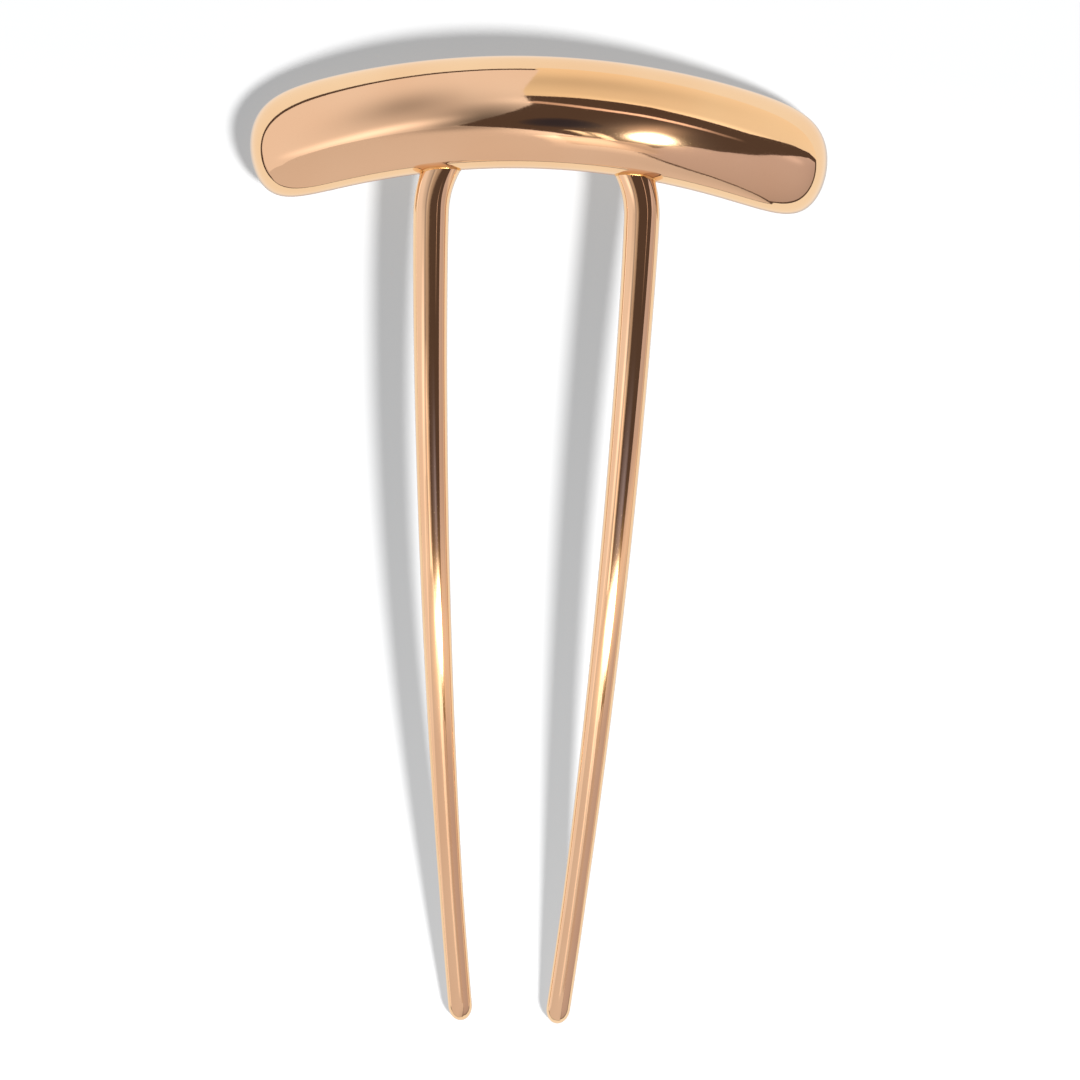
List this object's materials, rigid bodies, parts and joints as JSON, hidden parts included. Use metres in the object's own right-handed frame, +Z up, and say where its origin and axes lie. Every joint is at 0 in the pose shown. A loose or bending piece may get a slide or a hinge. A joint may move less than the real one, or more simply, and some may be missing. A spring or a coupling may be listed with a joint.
{
  "type": "hair fork",
  "caption": "Polished gold hair fork: a hollow domed crescent head with tapered, gently curved prongs that hold a bun or twist of hair.",
  "frame": {"origin": "middle of the part's footprint on the table that it lies on, dome up", "axes": "+X along the head, +Y from the prong tips to the head's top edge, +Z up through the dome"},
  "size_m": [0.0658, 0.11, 0.0124],
  "materials": {
    "polished_gold_plate": "mirror-polished gold plating on brass",
    "plated_filler": "gold-plated brazing filler",
    "raw_solder": "unpolished solder"
  },
  "bodies": {
    "root": {"front_shell": "polished_gold_plate", "back_shell": "polished_gold_plate", "fork": "polished_gold_plate", "rim_solder_long": "plated_filler", "rim_solder_short": "plated_filler", "root_braze_left": "plated_filler", "root_braze_right": "plated_filler", "bow_tack_left": "raw_solder", "bow_tack_right": "raw_solder"}
  },
  "joints": []
}
